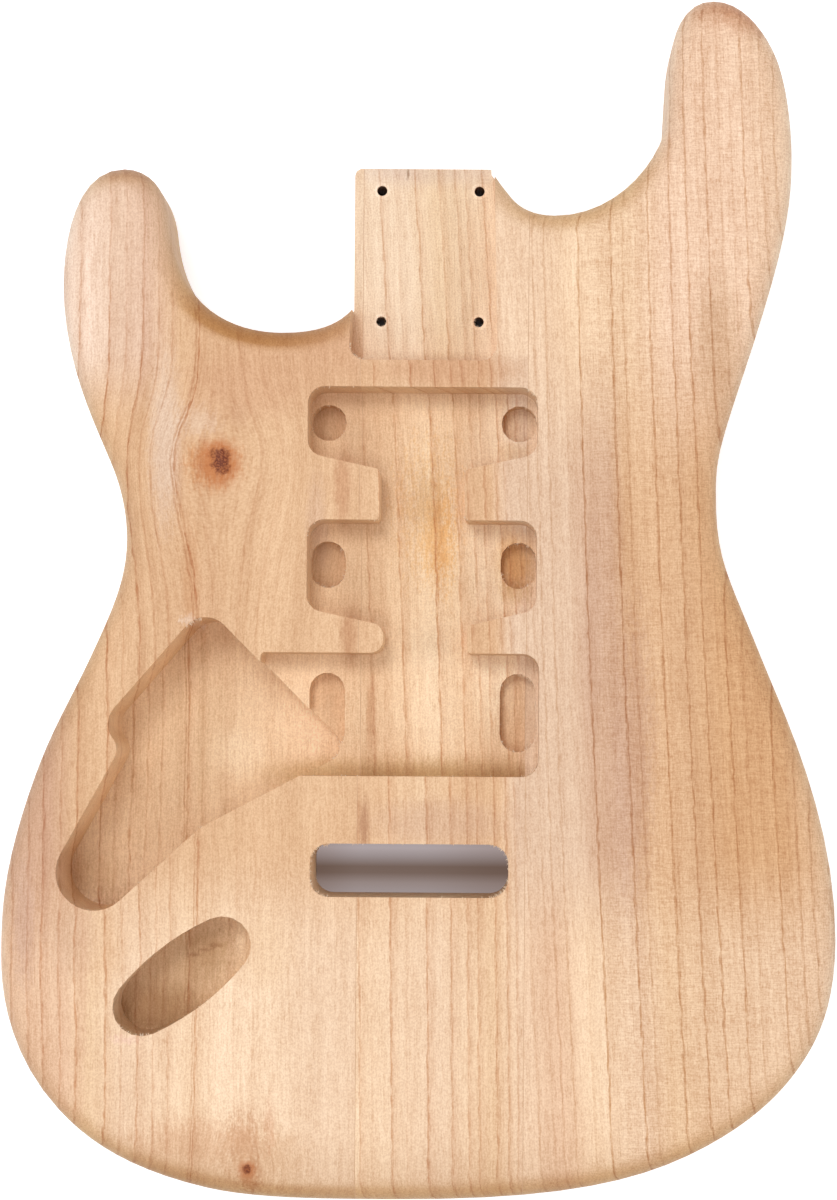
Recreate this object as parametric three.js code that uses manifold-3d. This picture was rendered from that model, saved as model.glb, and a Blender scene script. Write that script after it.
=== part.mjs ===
// Solid body of a left-handed electric guitar, in bare wood: three boards glued edge to edge,
// with rounded edges, a neck pocket, a pickup route, a control cavity, a jack cavity,
// a tremolo slot and a spring cavity behind it.
// Millimetres. The back lies on z = 0, +Y points to the neck and +X to the bass side.
// Stations along the body are counted from its tail, and the finished group is then moved
// so that the origin lies in the middle of the back.

import * as THREE from 'three';
import { mergeVertices } from 'three/addons/utils/BufferGeometryUtils.js';
import Module from 'manifold-3d';

const wasm = await Module();
wasm.setup();

// Whole body
const BODY_LENGTH = 465;
const BODY_WIDTH = 323.6;
const THICKNESS = 45;
const EDGE_RADIUS = 11;
const CENTRE_LINE_X = 0.6;
const OVERRUN = 5;
const CURVE_STEPS = 10;
const EDGE_STEPS = 5;
const ARC_STEPS = 7;
const HOLE_SIDES = 20;

// Outline of the body on each side of the tongue, as knots of one smooth curve that runs from
// the treble cutaway root round the tail to the bass cutaway root: across (from the tongue's
// side out to the body's side), along (of the length), heading in degrees, and how far the
// curve runs on with that heading before and after the knot (of the length)
const TREBLE_OUTLINE_SHARES = [
  [0.203, 0.722, 180, 0.038, 0.017],
  [0.434, 0.746, 136, 0.029, 0.033],
  [0.53, 0.813, 97, 0.009, 0.018],
  [0.657, 0.857, 180, 0.027, 0.042],
  [0.834, 0.76, 270, 0.037, 0.063],
  [0.695, 0.613, 293, 0.037, 0.011],
  [0.647, 0.548, 270, 0.031, 0.029],
  [0.726, 0.465, 246, 0.034, 0.064],
  [0.926, 0.334, 252, 0.063, 0.064],
  [1, 0.205, 270, 0.035, 0.017],
  [0.83, 0.073, 313, 0.073, 0.039],
  [0.407, 0.009, 347, 0.062, 0.04],
  [-0.121, 0, 0, 0.06, 0.148],
];
const BASS_OUTLINE_SHARES = [
  [0.635, 0.046, 29, 0.059, 0.053],
  [0.902, 0.114, 56, 0.019, 0.026],
  [1, 0.217, 90, 0.053, 0.102],
  [0.783, 0.453, 112, 0.047, 0.075],
  [0.649, 0.592, 90, 0.058, 0.025],
  [0.718, 0.683, 72, 0.058, 0.116],
  [0.859, 0.867, 90, 0.039, 0.037],
  [0.814, 0.952, 112, 0.018, 0.013],
  [0.63, 1, 180, 0.03, 0.033],
  [0.504, 0.933, 267, 0.023, 0.033],
  [0.492, 0.89, 252, 0.007, 0.034],
  [0.181, 0.821, 180, 0.045, 0.024],
  [0.055, 0.837, 129, 0.006, 0.021],
];

// The headings belong to a body whose sides reach this far out (of its length), and they
// stretch with it; the horn tips, its tightest bends, bound the radius of the rounded edge
const SIDE_SPAN_SHARE = 0.29;
const HORN_TIP_SHARE = 0.29;

// Heel, where the neck is bolted on: a tongue between the two cutaways
const HEEL_END_SHARE = 0.8624;
const TONGUE_WIDTH = 53.2;
const TONGUE_OFFSET = -1;
const TONGUE_CORNER_RADIUS = 3;
const TREBLE_ROOT_SHARE = 0.743;
const TREBLE_ROOT_HEADING = 228;
const TREBLE_ROOT_REACH_SHARE = 0.012;
const BASS_ROOT_SHARE = 0.858;
const BASS_ROOT_HEADING = 127;
const BASS_ROOT_REACH_SHARE = 0.018;

// Neck pocket and its bolt holes
const POCKET_LENGTH = 77.3;
const POCKET_DEPTH = 16;
const POCKET_MOUTH_MARGIN = 0.4;
const POCKET_TAPER = 3.4;
const POCKET_CORNER_RADIUS = 6;
const BOLT_SPACING_ACROSS = 38;
const BOLT_SPACING_ALONG = 51;
const BOLT_HOLE_DIAMETER = 4;
const BOLT_SETBACK = 34.1;
const BOLT_OFFSET = 2;

// Pickup route: three pickups in one recess, joined by two channels
const POCKET_TO_ROUTE = 10.2;
const PICKUP_SPACING = 51.05;
const ROUTE_WIDTH = 88.2;
const ROUTE_DEPTH = 17;
const NECK_SIDE_LENGTH = 25.6;
const NECK_MIDDLE_LENGTH = 31.7;
const MIDDLE_SIDE_LENGTH = 34.2;
const MIDDLE_MIDDLE_LENGTH = 40.5;
const BRIDGE_LENGTH = 47.3;
const BRIDGE_BASS_REACH = 45.3;
const BRIDGE_TREBLE_REACH = 61.6;
const NECK_CHANNEL_WIDTH = 32.8;
const BRIDGE_CHANNEL_WIDTH = 32.1;
const BRIDGE_CHANNEL_OFFSET = 1.5;
const ROUTE_CORNER_RADIUS = 6.5;
const CHANNEL_CORNER_RADIUS = 1.8;
const TREBLE_CHANNEL_RADIUS = 5.1;

// Deep pockets at both ends of each pickup
const EAR_WIDTH = 13.9;
const EAR_SPACING = 74.4;
const EAR_SHIFT = 1.1;
const EAR_EXTRA_DEPTH = 8;
const NECK_EAR_LENGTH = 14.2;
const MIDDLE_EAR_LENGTH = 18.3;
const BRIDGE_EAR_LENGTH = 30.8;

// Control cavity: corners as shares of its two spans from the corner nearest the centre line,
// each with its radius as a share of the span across
const CONTROL_SPAN_ACROSS = 115.7;
const CONTROL_SPAN_ALONG = 122;
const CONTROL_FLOOR = 13;
const CONTROL_TO_CENTRE_LINE = 28.1;
const CONTROL_ABOVE_ROUTE_END = 9.7;
const CONTROL_CORNER_SHARES = [
  [0, 0, 0.052],
  [-0.476, 0.455, 0.086],
  [-0.812, 0.087, 0.078],
  [-0.755, 0, 0.061],
  [-1, -0.42, 0.125],
  [-0.83, -0.545, 0.125],
  [-0.489, -0.247, 0.13],
];

// Jack cavity, a slanted oval of four arcs
const JACK_ACROSS_SHARE = -0.279;
const JACK_ALONG_SHARE = 0.187;
const JACK_LENGTH = 61.3;
const JACK_WIDTH = 26.8;
const JACK_END_RADIUS_SHARE = 0.414;
const JACK_DEPTH = 20;
const JACK_ANGLE = 37.9;

// Wire holes between the cavities
const WIRE_HOLE_DIAMETER = 8;
const WIRE_HOLE_RISE = 6;
const GROUND_HOLE_DIAMETER = 4;
const GROUND_HOLE_RISE = 5;
const GROUND_HOLE_RUN = 12;

// Tremolo slot through the body, and the spring cavity in the back
const ROUTE_TO_SLOT = 25.9;
const SLOT_WIDTH = 76.2;
const SLOT_LENGTH = 20.5;
const SLOT_OFFSET = -4.1;
const SLOT_CORNER_RADIUS = 7.3;
const BLOCK_ROOM_MARGIN = 1;
const BLOCK_ROOM_BEHIND = 4;
const BLOCK_ROOM_AHEAD = 12;
const SPRING_WIDTH = 57;
const SPRING_LENGTH = 107;
const SPRING_DEPTH = 16;

// Boards and the glue between them
const GLUE_THICKNESS = 0.2;
const TONGUE_STRIP_WIDTH = 3.5;
const SLOT_TO_BASS_GLUE = 6.3;

// Heights and stations worked out from the sizes above
const pocketFloor = THICKNESS - POCKET_DEPTH;
const routeFloor = THICKNESS - ROUTE_DEPTH;
const earFloor = routeFloor - EAR_EXTRA_DEPTH;
const jackFloor = THICKNESS - JACK_DEPTH;
const heelEnd = HEEL_END_SHARE * BODY_LENGTH;
const trebleRootY = TREBLE_ROOT_SHARE * BODY_LENGTH;
const tongueMiddle = CENTRE_LINE_X + TONGUE_OFFSET;
const tongueTreble = tongueMiddle - TONGUE_WIDTH / 2;
const tongueBass = tongueMiddle + TONGUE_WIDTH / 2;
const trebleSpan = tongueTreble + BODY_WIDTH / 2;
const bassSpan = BODY_WIDTH / 2 - tongueBass;
const hornTipRadius = (HORN_TIP_SHARE * bassSpan ** 2) / BODY_LENGTH;
const edgeRadius = Math.min(EDGE_RADIUS, hornTipRadius);
const pocketWall = heelEnd - POCKET_LENGTH;
const neckStation = pocketWall - POCKET_TO_ROUTE;
const middleStation = neckStation - PICKUP_SPACING;
const bridgeStation = middleStation - PICKUP_SPACING;
const routeEnd = bridgeStation - BRIDGE_LENGTH;
const slotX = CENTRE_LINE_X + SLOT_OFFSET;
const slotFront = routeEnd - ROUTE_TO_SLOT;
const slotY = slotFront - SLOT_LENGTH / 2;
const springFront = slotFront + SPRING_LENGTH;
const springTreble = CENTRE_LINE_X - SPRING_WIDTH / 2;
const trebleGlue = tongueTreble + TONGUE_STRIP_WIDTH;
const bassGlue = slotX + SLOT_WIDTH / 2 + SLOT_TO_BASS_GLUE;

// A closed geometry as a solid that can be cut and joined
function solid(geometry) {
  geometry.deleteAttribute('normal');
  geometry.deleteAttribute('uv');
  const merged = mergeVertices(geometry);
  const triVerts = new Uint32Array(merged.index.array);
  return new wasm.Manifold(
    new wasm.Mesh({ numProp: 3, vertProperties: merged.attributes.position.array, triVerts })
  );
}

// An outline drawn straight up between two heights
function prism(points, bottom, top) {
  const settings = { depth: top - bottom, bevelEnabled: false };
  const geometry = new THREE.ExtrudeGeometry(new THREE.Shape(points), settings);
  return solid(geometry.translate(0, 0, bottom));
}

// Points along part of a circle, from one angle to the other
function arc(x, y, radius, from, to) {
  return new THREE.EllipseCurve(x, y, radius, radius, from, to, to < from).getPoints(ARC_STEPS);
}

// A polygon of [x, y, radius] corners, each rounded by its own arc
function rounded(corners) {
  return corners.flatMap(([x, y, radius], index) => {
    const corner = new THREE.Vector2(x, y);
    if (radius === 0) {
      return [corner];
    }
    const back = new THREE.Vector2(...corners.at(index - 1)).sub(corner).normalize();
    const ahead = new THREE.Vector2(...corners[(index + 1) % corners.length]).sub(corner).normalize();
    const halfAngle = Math.acos(back.dot(ahead)) / 2;
    const middle = back.clone().add(ahead).normalize().multiplyScalar(radius / Math.sin(halfAngle));
    const centre = corner.clone().add(middle);
    const halfTurn = Math.PI / 2 - halfAngle;
    const outward = Math.atan2(-middle.y, -middle.x);
    const side = Math.sign(ahead.cross(back));
    return arc(centre.x, centre.y, radius, outward - side * halfTurn, outward + side * halfTurn);
  });
}

function rectangle(left, right, near, far) {
  return rounded([[left, near, 0], [right, near, 0], [right, far, 0], [left, far, 0]]);
}

// A long hole along Y with round ends
function longHole(x, y, width, length) {
  const reach = (length - width) / 2;
  const farEnd = arc(x, y + reach, width / 2, 0, Math.PI);
  const nearEnd = arc(x, y - reach, width / 2, Math.PI, 2 * Math.PI);
  return [...farEnd, ...nearEnd];
}

// A round hole drilled from one point to another
function drilled(from, to, diameter) {
  const start = new THREE.Vector3(...from);
  const run = new THREE.Vector3(...to).sub(start);
  const geometry = new THREE.CylinderGeometry(diameter / 2, diameter / 2, run.length(), HOLE_SIDES);
  const turn = new THREE.Quaternion().setFromUnitVectors(
    new THREE.Vector3(0, 1, 0),
    run.clone().normalize()
  );
  geometry.applyQuaternion(turn);
  start.addScaledVector(run, 1 / 2);
  return solid(geometry.translate(start.x, start.y, start.z));
}

// The point that lies a share of the length away from a knot along its heading
function along(knot, share) {
  const heading = THREE.MathUtils.degToRad(knot.heading);
  const sideways = (share * Math.cos(heading) * knot.span) / SIDE_SPAN_SHARE;
  const lengthwise = share * Math.sin(heading) * BODY_LENGTH;
  return [knot.x + sideways, knot.y + lengthwise];
}

// The knots of one side, counted outwards from that side of the tongue
function sideKnots(rows, tongueSide, outward, span) {
  return rows.map(([across, lengthwise, heading, before, after]) => ({
    x: tongueSide + outward * across * span,
    y: lengthwise * BODY_LENGTH,
    heading,
    before,
    after,
    span,
  }));
}

function outlineKnots() {
  const trebleRoot = [0, TREBLE_ROOT_SHARE, TREBLE_ROOT_HEADING, 0, TREBLE_ROOT_REACH_SHARE];
  const bassRoot = [0, BASS_ROOT_SHARE, BASS_ROOT_HEADING, BASS_ROOT_REACH_SHARE, 0];
  return [
    ...sideKnots([trebleRoot, ...TREBLE_OUTLINE_SHARES], tongueTreble, -1, trebleSpan),
    ...sideKnots([...BASS_OUTLINE_SHARES, bassRoot], tongueBass, 1, bassSpan),
  ];
}

// The whole outline, where the tongue still runs on past the heel end to a round tip
function outline() {
  const knots = outlineKnots();
  const shape = new THREE.Shape();
  shape.moveTo(knots[0].x, knots[0].y);
  for (let index = 1; index < knots.length; index += 1) {
    const from = knots[index - 1];
    const to = knots[index];
    shape.bezierCurveTo(...along(from, from.after), ...along(to, -to.before), to.x, to.y);
  }
  shape.absarc(tongueMiddle, heelEnd, TONGUE_WIDTH / 2, 0, Math.PI, false);
  return shape;
}

// The slab with both edges rounded all the way round
function roundedSlab() {
  const geometry = new THREE.ExtrudeGeometry(outline(), {
    depth: THICKNESS - 2 * edgeRadius,
    bevelThickness: edgeRadius,
    bevelSize: edgeRadius,
    bevelOffset: -edgeRadius,
    bevelSegments: EDGE_STEPS,
    curveSegments: CURVE_STEPS,
  });
  return solid(geometry.translate(0, 0, edgeRadius));
}

// The back of the heel stays square on the treble side, where the neck plate lies
function heelBlock() {
  const bass = tongueBass - edgeRadius;
  const near = trebleRootY - edgeRadius;
  const footprint = rectangle(tongueTreble, bass, near, heelEnd + TONGUE_CORNER_RADIUS);
  return prism(footprint, 0, THICKNESS - edgeRadius);
}

// What is sawn off past the heel end, with the round corner on the treble side
function heelTrim() {
  const radius = TONGUE_CORNER_RADIUS;
  const corner = arc(tongueTreble + radius, heelEnd - radius, radius, Math.PI, Math.PI / 2);
  const far = heelEnd + TONGUE_WIDTH;
  const around = [
    new THREE.Vector2(tongueBass + OVERRUN, heelEnd),
    new THREE.Vector2(tongueBass + OVERRUN, far),
    new THREE.Vector2(tongueTreble - OVERRUN, far),
    new THREE.Vector2(tongueTreble - OVERRUN, heelEnd - radius),
  ];
  return prism([...corner, ...around], -OVERRUN, THICKNESS + OVERRUN);
}

// The pocket narrows towards the heel end, and is open on the treble side past the cutaway root
function neckPocket() {
  const mouthWidth = TONGUE_WIDTH + POCKET_MOUTH_MARGIN;
  const halfWidthAt = (y) => (mouthWidth + (POCKET_TAPER * (heelEnd - y)) / POCKET_LENGTH) / 2;
  const far = heelEnd + OVERRUN;
  const footprint = rounded([
    [CENTRE_LINE_X - halfWidthAt(pocketWall), pocketWall, POCKET_CORNER_RADIUS],
    [CENTRE_LINE_X + halfWidthAt(pocketWall), pocketWall, POCKET_CORNER_RADIUS],
    [CENTRE_LINE_X + halfWidthAt(far), far, 0],
    [tongueTreble - OVERRUN, far, 0],
    [tongueTreble - OVERRUN, trebleRootY, 0],
    [CENTRE_LINE_X - halfWidthAt(trebleRootY), trebleRootY, 0],
  ]);
  return prism(footprint, pocketFloor, THICKNESS + OVERRUN);
}

function boltHoles() {
  const middleX = CENTRE_LINE_X + BOLT_OFFSET;
  const middleY = heelEnd - BOLT_SETBACK;
  const sides = [-1 / 2, 1 / 2];
  return sides.flatMap((across) =>
    sides.map((lengthwise) => {
      const x = middleX + across * BOLT_SPACING_ACROSS;
      const y = middleY + lengthwise * BOLT_SPACING_ALONG;
      return drilled([x, y, -OVERRUN], [x, y, pocketFloor + OVERRUN], BOLT_HOLE_DIAMETER);
    })
  );
}

// One recess for the three pickups, opening into the control cavity on the treble side
function pickupRoute() {
  const treble = CENTRE_LINE_X - ROUTE_WIDTH / 2;
  const bass = CENTRE_LINE_X + ROUTE_WIDTH / 2;
  const neckChannel = NECK_CHANNEL_WIDTH / 2;
  const bridgeChannel = BRIDGE_CHANNEL_WIDTH / 2;
  const bridgeChannelX = CENTRE_LINE_X + BRIDGE_CHANNEL_OFFSET;
  const bassEnd = CENTRE_LINE_X + BRIDGE_BASS_REACH;
  const trebleEnd = CENTRE_LINE_X - BRIDGE_TREBLE_REACH;
  const wide = ROUTE_CORNER_RADIUS;
  const tight = CHANNEL_CORNER_RADIUS;
  const easy = TREBLE_CHANNEL_RADIUS;
  const footprint = rounded([
    [treble, neckStation, wide],
    [treble, neckStation - NECK_SIDE_LENGTH, wide],
    [CENTRE_LINE_X - neckChannel, neckStation - NECK_MIDDLE_LENGTH, tight],
    [CENTRE_LINE_X - neckChannel, middleStation, tight],
    [treble, middleStation, wide],
    [treble, middleStation - MIDDLE_SIDE_LENGTH, wide],
    [bridgeChannelX - bridgeChannel, middleStation - MIDDLE_MIDDLE_LENGTH, easy],
    [bridgeChannelX - bridgeChannel, bridgeStation, easy],
    [trebleEnd, bridgeStation, tight],
    [trebleEnd, routeEnd, tight],
    [bassEnd, routeEnd, wide],
    [bassEnd, bridgeStation, wide],
    [bridgeChannelX + bridgeChannel, bridgeStation, tight],
    [bridgeChannelX + bridgeChannel, middleStation - MIDDLE_MIDDLE_LENGTH, tight],
    [bass, middleStation - MIDDLE_SIDE_LENGTH, wide],
    [bass, middleStation, wide],
    [CENTRE_LINE_X + neckChannel, middleStation, tight],
    [CENTRE_LINE_X + neckChannel, neckStation - NECK_MIDDLE_LENGTH, tight],
    [bass, neckStation - NECK_SIDE_LENGTH, wide],
    [bass, neckStation, wide],
  ]);
  return prism(footprint, routeFloor, THICKNESS + OVERRUN);
}

function deepPockets() {
  const pickups = [
    [neckStation, NECK_SIDE_LENGTH, NECK_EAR_LENGTH],
    [middleStation, MIDDLE_SIDE_LENGTH, MIDDLE_EAR_LENGTH],
    [bridgeStation, BRIDGE_LENGTH, BRIDGE_EAR_LENGTH],
  ];
  return pickups.flatMap(([station, sideLength, earLength]) =>
    [-1 / 2, 1 / 2].map((side) => {
      const x = CENTRE_LINE_X + side * EAR_SPACING;
      const y = station - sideLength / 2 + EAR_SHIFT;
      const footprint = longHole(x, y, EAR_WIDTH, earLength);
      return prism(footprint, earFloor, routeFloor + OVERRUN);
    })
  );
}

function controlCorners() {
  const cornerX = CENTRE_LINE_X - CONTROL_TO_CENTRE_LINE;
  const cornerY = routeEnd + CONTROL_ABOVE_ROUTE_END;
  return CONTROL_CORNER_SHARES.map(([across, lengthwise, radius]) => [
    cornerX + across * CONTROL_SPAN_ACROSS,
    cornerY + lengthwise * CONTROL_SPAN_ALONG,
    radius * CONTROL_SPAN_ACROSS,
  ]);
}

function controlCavity() {
  return prism(rounded(controlCorners()), CONTROL_FLOOR, THICKNESS + OVERRUN);
}

const jackX = JACK_ACROSS_SHARE * BODY_WIDTH;
const jackY = JACK_ALONG_SHARE * BODY_LENGTH;

// Two tight arcs at the ends and two flat ones along the sides, all tangent to each other
function jackCavity() {
  const endRadius = JACK_END_RADIUS_SHARE * JACK_WIDTH;
  const halfWidth = JACK_WIDTH / 2;
  const endX = JACK_LENGTH / 2 - endRadius;
  const sideRadius = (halfWidth ** 2 + endX ** 2 - endRadius ** 2) / 2 / (halfWidth - endRadius);
  const sideY = sideRadius - halfWidth;
  const turn = Math.atan2(sideY, endX);
  const footprint = [
    ...arc(endX, 0, endRadius, -turn, turn).slice(1),
    ...arc(0, -sideY, sideRadius, turn, Math.PI - turn).slice(1),
    ...arc(-endX, 0, endRadius, Math.PI - turn, Math.PI + turn).slice(1),
    ...arc(0, sideY, sideRadius, Math.PI + turn, 2 * Math.PI - turn).slice(1),
  ];
  const angle = THREE.MathUtils.degToRad(JACK_ANGLE);
  const centre = new THREE.Vector2(jackX, jackY);
  const placed = footprint.map((point) =>
    point.rotateAround(new THREE.Vector2(), angle).add(centre)
  );
  return prism(placed, jackFloor, THICKNESS + OVERRUN);
}

// From the jack cavity to the middle of the far end of the control cavity
function wireHole() {
  const farCorners = controlCorners().slice(-4);
  const meanOf = (axis) => farCorners.reduce((sum, corner) => sum + corner[axis], 0) / 4;
  const height = jackFloor + WIRE_HOLE_RISE;
  return drilled([jackX, jackY, height], [meanOf(0), meanOf(1), height], WIRE_HOLE_DIAMETER);
}

// Slants down from the control cavity into the side of the spring cavity
function groundHole() {
  const [cornerX, cornerY] = controlCorners()[0];
  const y = cornerY + GROUND_HOLE_DIAMETER;
  const from = [cornerX - GROUND_HOLE_RUN, y, CONTROL_FLOOR + GROUND_HOLE_RISE];
  const to = [springTreble + GROUND_HOLE_RUN, y, SPRING_DEPTH - GROUND_HOLE_RISE];
  return drilled(from, to, GROUND_HOLE_DIAMETER);
}

function tremoloSlot() {
  const left = slotX - SLOT_WIDTH / 2;
  const right = slotX + SLOT_WIDTH / 2;
  const near = slotFront - SLOT_LENGTH;
  const radius = SLOT_CORNER_RADIUS;
  const footprint = rounded([
    [left, near, radius],
    [right, near, radius],
    [right, slotFront, radius],
    [left, slotFront, radius],
  ]);
  return prism(footprint, -OVERRUN, THICKNESS + OVERRUN);
}

// In the back: room for the tremolo block round the slot, then a long bay for the springs
function springCavity() {
  const blockLeft = slotX - SLOT_WIDTH / 2 - BLOCK_ROOM_MARGIN;
  const blockRight = slotX + SLOT_WIDTH / 2 + BLOCK_ROOM_MARGIN;
  const blockNear = slotFront - SLOT_LENGTH - BLOCK_ROOM_BEHIND;
  const blockFar = slotFront + BLOCK_ROOM_AHEAD;
  const springBass = springTreble + SPRING_WIDTH;
  const radius = ROUTE_CORNER_RADIUS;
  const inner = CHANNEL_CORNER_RADIUS;
  const footprint = rounded([
    [blockLeft, blockNear, radius],
    [blockRight, blockNear, radius],
    [blockRight, blockFar, inner],
    [springBass, blockFar, inner],
    [springBass, springFront, radius],
    [springTreble, springFront, radius],
    [springTreble, blockFar, inner],
    [blockLeft, blockFar, radius],
  ]);
  return prism(footprint, -OVERRUN, SPRING_DEPTH);
}

function wholeBody() {
  const cuts = [
    heelTrim(),
    neckPocket(),
    ...boltHoles(),
    pickupRoute(),
    ...deepPockets(),
    controlCavity(),
    jackCavity(),
    wireHole(),
    groundHole(),
    tremoloSlot(),
    springCavity(),
  ];
  return cuts.reduce((body, cut) => body.subtract(cut), roundedSlab().add(heelBlock()));
}

const body = wholeBody();

// The slice of the body between two glue faces, or part of its length
function slice(left, right, near = -OVERRUN, far = BODY_LENGTH + OVERRUN) {
  return body.intersect(prism(rectangle(left, right, near, far), -OVERRUN, THICKNESS + OVERRUN));
}

function named(name, part, material) {
  const { vertProperties, triVerts } = part.getMesh();
  const geometry = new THREE.BufferGeometry();
  geometry.setAttribute('position', new THREE.BufferAttribute(vertProperties, 3));
  geometry.setIndex(new THREE.BufferAttribute(triVerts, 1));
  geometry.computeVertexNormals();
  const mesh = new THREE.Mesh(geometry, material);
  mesh.name = name;
  return mesh;
}

const trebleWood = new THREE.MeshStandardMaterial({ color: 0xd8b088, roughness: 0.62, metalness: 0 });
const centreWood = new THREE.MeshStandardMaterial({ color: 0xe4bd98, roughness: 0.62, metalness: 0 });
const bassWood = new THREE.MeshStandardMaterial({ color: 0xd9b28a, roughness: 0.62, metalness: 0 });
const glue = new THREE.MeshStandardMaterial({ color: 0xa9764a, roughness: 0.5, metalness: 0 });

const halfGlue = GLUE_THICKNESS / 2;
const outerTreble = -BODY_WIDTH / 2 - OVERRUN;
const outerBass = BODY_WIDTH / 2 + OVERRUN;
const trebleFaces = [trebleGlue - halfGlue, trebleGlue + halfGlue];
const bassFaces = [bassGlue - halfGlue, bassGlue + halfGlue];

const guitarBody = new THREE.Group();
guitarBody.add(
  named('treble_side_board', slice(outerTreble, trebleFaces[0]), trebleWood),
  named('centre_board', slice(trebleFaces[1], bassFaces[0]), centreWood),
  named('bass_side_board', slice(bassFaces[1], outerBass), bassWood),
  named('glue_line_treble_front', slice(...trebleFaces, slotY), glue),
  named('glue_line_treble_rear', slice(...trebleFaces, -OVERRUN, slotY), glue),
  named('glue_line_bass', slice(...bassFaces), glue)
);

guitarBody.position.y = -BODY_LENGTH / 2;

export default guitarBody;
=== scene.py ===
"""An electric guitar body of three glued boards, sanded and bare, lying on a white table."""
from itertools import combinations
from math import radians
from random import Random

import bmesh
import bpy
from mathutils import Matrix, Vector


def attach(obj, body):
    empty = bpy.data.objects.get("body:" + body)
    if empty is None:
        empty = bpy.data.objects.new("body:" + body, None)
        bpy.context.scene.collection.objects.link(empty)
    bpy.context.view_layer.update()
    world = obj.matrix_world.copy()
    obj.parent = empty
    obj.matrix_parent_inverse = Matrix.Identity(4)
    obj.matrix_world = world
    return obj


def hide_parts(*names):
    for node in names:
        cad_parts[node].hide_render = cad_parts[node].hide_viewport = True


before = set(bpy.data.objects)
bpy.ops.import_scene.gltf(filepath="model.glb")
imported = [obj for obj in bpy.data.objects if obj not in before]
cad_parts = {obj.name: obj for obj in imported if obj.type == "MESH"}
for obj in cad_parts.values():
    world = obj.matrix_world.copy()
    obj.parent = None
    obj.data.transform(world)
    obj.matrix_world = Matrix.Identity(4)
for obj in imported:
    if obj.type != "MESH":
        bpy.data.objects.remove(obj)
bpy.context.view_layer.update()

MM = 0.001
TAIL = -232.5
THICKNESS = 45.0
scene = bpy.context.scene

# Camera
PHOTO_TALL = 1200
PHOTO_MIDDLE = (418.5, 600)
LENS_AXIS = (498, 743)
CAMERA_PLACE = (0.03029, -0.05531, 0.895)
CAMERA_TURN = 0.4
CAMERA_LENS = 66.55
SENSOR_LONG_SIDE = 36
NEAREST_SEEN = 0.01


def overhead_camera():
    """A camera that looks straight down on the front of the body."""
    lens = bpy.data.cameras.new("overhead_camera")
    lens.sensor_fit = "AUTO"
    lens.sensor_width = SENSOR_LONG_SIDE
    lens.lens = CAMERA_LENS
    lens.shift_x = (PHOTO_MIDDLE[0] - LENS_AXIS[0]) / PHOTO_TALL
    lens.shift_y = (LENS_AXIS[1] - PHOTO_MIDDLE[1]) / PHOTO_TALL
    lens.clip_start = NEAREST_SEEN
    camera = bpy.data.objects.new("overhead_camera", lens)
    camera.location = CAMERA_PLACE
    camera.rotation_euler = (0, 0, radians(CAMERA_TURN))
    scene.collection.objects.link(camera)
    scene.camera = camera


overhead_camera()


# Colours
def paint(red, green, blue):
    """A colour given in screen values from 0 to 255, as the linear colour that a shader takes."""
    channels = []
    for level in (red, green, blue):
        share = level / 255
        channels.append(share / 12.92 if share < 0.04045 else ((share + 0.055) / 1.055) ** 2.4)
    return (*channels, 1)


PALE_STRAW = paint(251, 218, 184)
PINK_STRAW = paint(248, 212, 182)
STRAW = paint(247, 212, 176)
CREAM = paint(242, 207, 174)
WARM_STRAW = paint(239, 201, 162)
ROSE_WHITE = paint(236, 195, 161)
HONEY = paint(232, 189, 148)
TAN = paint(225, 181, 140)
OCHRE = paint(223, 175, 129)
PALE_GOLD = paint(238, 201, 165)
DULL_CREAM = paint(231, 196, 166)
MAUVE = paint(218, 177, 146)
DUSKY_TAN = paint(217, 168, 129)
ORANGE_TAN = paint(234, 180, 122)
KNOT_CORE = paint(104, 38, 10)
KNOT_SWIRL = paint(172, 96, 50)
KNOT_HALO = paint(192, 106, 46)
PINK_GREY = paint(232, 200, 174)
PALE_ROSE = paint(249, 218, 194)
DULL_ROSE = paint(233, 197, 169)
BROWN_ROSE = paint(229, 190, 162)
DUSKY_ROSE = paint(213, 169, 138)
DARK_GLUE = paint(196, 148, 110)
PALE_GLUE = paint(216, 172, 134)
DARK_FIBRE = paint(226, 190, 152)
PALE_FIBRE = paint(252, 236, 216)
PAPER = paint(232, 232, 234)
# A dark painted shade for the table under the slot
PAINTED_SHADE_UNDER_SLOT = paint(40, 38, 38)

# Shades that the wood's colour is multiplied by
GRAIN_SHADE = (0.70, 0.54, 0.42, 1)
RED_RING = (0.68, 0.45, 0.31, 1)
GOLD_RING = (0.62, 0.41, 0.24, 1)
# Painted light: the floors of the cuts made paler, and the deepest floors paler still
PAINTED_LIGHT_ON_FLOORS = (1.02, 1.08, 1.12, 1)
PAINTED_LIGHT_ON_DEEPEST = (1.08, 1.14, 1.18, 1)
TAIL_SHADE = (0.86, 0.82, 0.78, 1)
BORE_HALO = (1.10, 1.13, 1.18, 1)
POCKET_SHADE = (0.95, 0.92, 0.88, 1)
END_SHADE = (0.80, 0.69, 0.53, 1)
# Painted light: walls and sides made paler and less red
PAINTED_WALL_LIGHT = (0.99, 1.09, 1.15, 1)
# A painted highlight along the rims at the front
PAINTED_RIM_HIGHLIGHT = (1.3, 1.33, 1.36, 1)
# Painted shade inside the bolt holes
PAINTED_SHADE_IN_BORES = (0.26, 0.17, 0.13, 1)
# Painted shade towards the two ends of the slot
SLOT_END_PAINTED_SHADE = (0.62, 0.5, 0.42, 1)


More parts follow.
